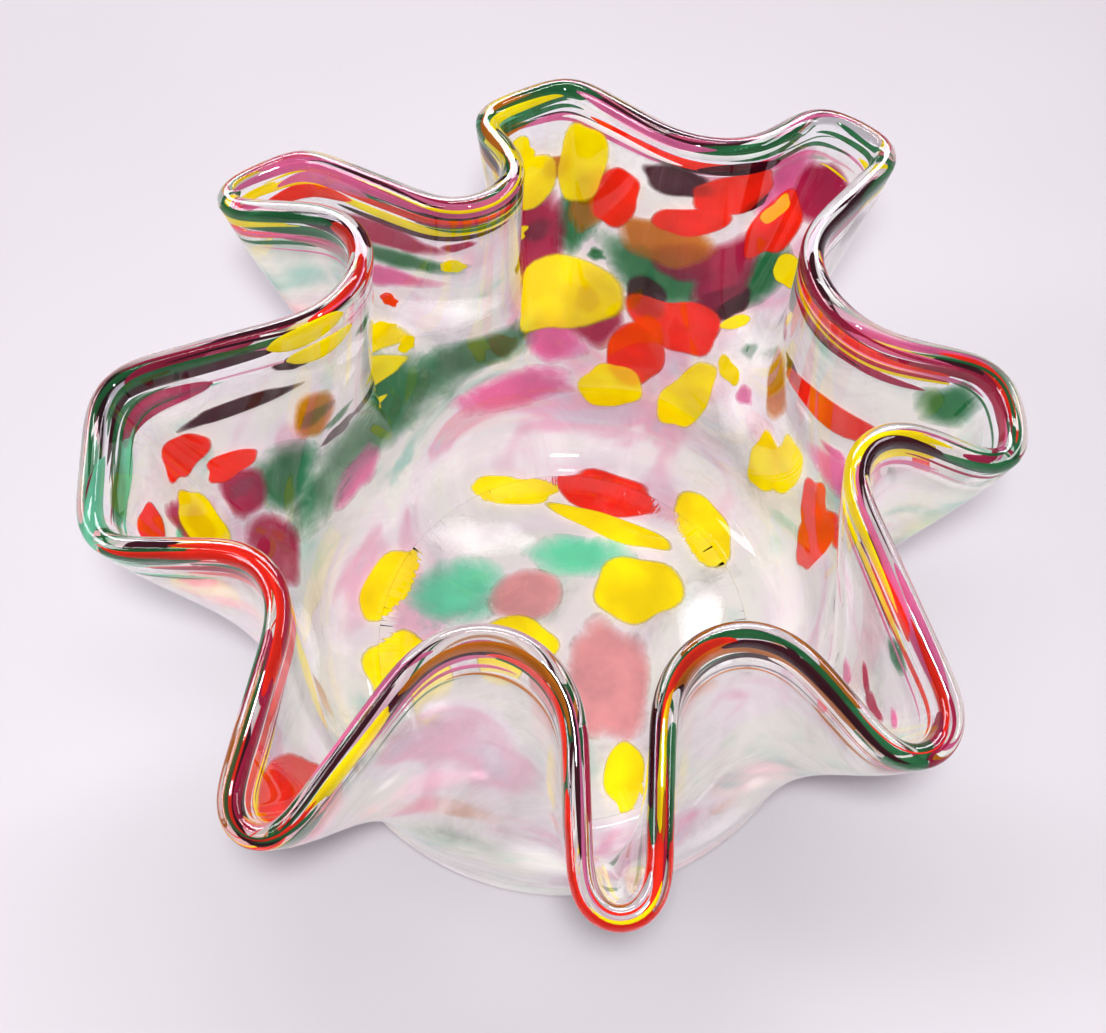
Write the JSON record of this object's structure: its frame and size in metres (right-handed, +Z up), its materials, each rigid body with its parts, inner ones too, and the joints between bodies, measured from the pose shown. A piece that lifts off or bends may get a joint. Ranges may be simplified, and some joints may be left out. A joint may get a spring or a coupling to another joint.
{
  "type": "ruffled art glass bowl",
  "caption": "Blown glass bowl with a round thick base, a ruffled wall of outward lobes and inward folds, and coloured chips cased in clear glass.",
  "frame": {"origin": "centre of the flat resting face under the foot", "axes": "+Z up out of the bowl, -Y towards the narrow front lobe"},
  "size_m": [0.1911, 0.1889, 0.1302],
  "materials": {
    "clear_glass": "clear, fire-polished, very glossy",
    "veil_glass": "thin milky veil, uneven",
    "yellow_glass": "opaque lemon yellow glass, glossy",
    "red_glass": "signal red to orange glass, glossy",
    "green_glass": "soft-edged bottle green glass",
    "teal_glass": "soft-edged pale sea green glass",
    "cranberry_glass": "deep cranberry glass",
    "pink_glass": "dusty pink to magenta glass",
    "opal_white_glass": "milky white opal glass",
    "amber_glass": "amber to orange glass",
    "aubergine_glass": "very dark aubergine glass"
  },
  "bodies": {
    "root": {"clear_casing": "clear_glass", "clear_lining": "clear_glass", "opal_veil": "veil_glass", "yellow_wall_chips": "yellow_glass", "red_wall_chips": "red_glass", "green_wall_chips": "green_glass", "cranberry_wall_chips": "cranberry_glass", "pink_wall_chips": "pink_glass", "opal_white_wall_chips": "opal_white_glass", "amber_wall_chips": "amber_glass", "aubergine_wall_chips": "aubergine_glass", "yellow_floor_chips": "yellow_glass", "red_floor_chips": "red_glass", "teal_floor_chips": "teal_glass", "pink_floor_chips": "pink_glass", "opal_white_floor_chips": "opal_white_glass", "yellow_rim_streaks": "yellow_glass", "red_rim_streaks": "red_glass", "green_rim_streaks": "green_glass", "cranberry_rim_streaks": "cranberry_glass", "amber_rim_streaks": "amber_glass"}
  },
  "joints": []
}
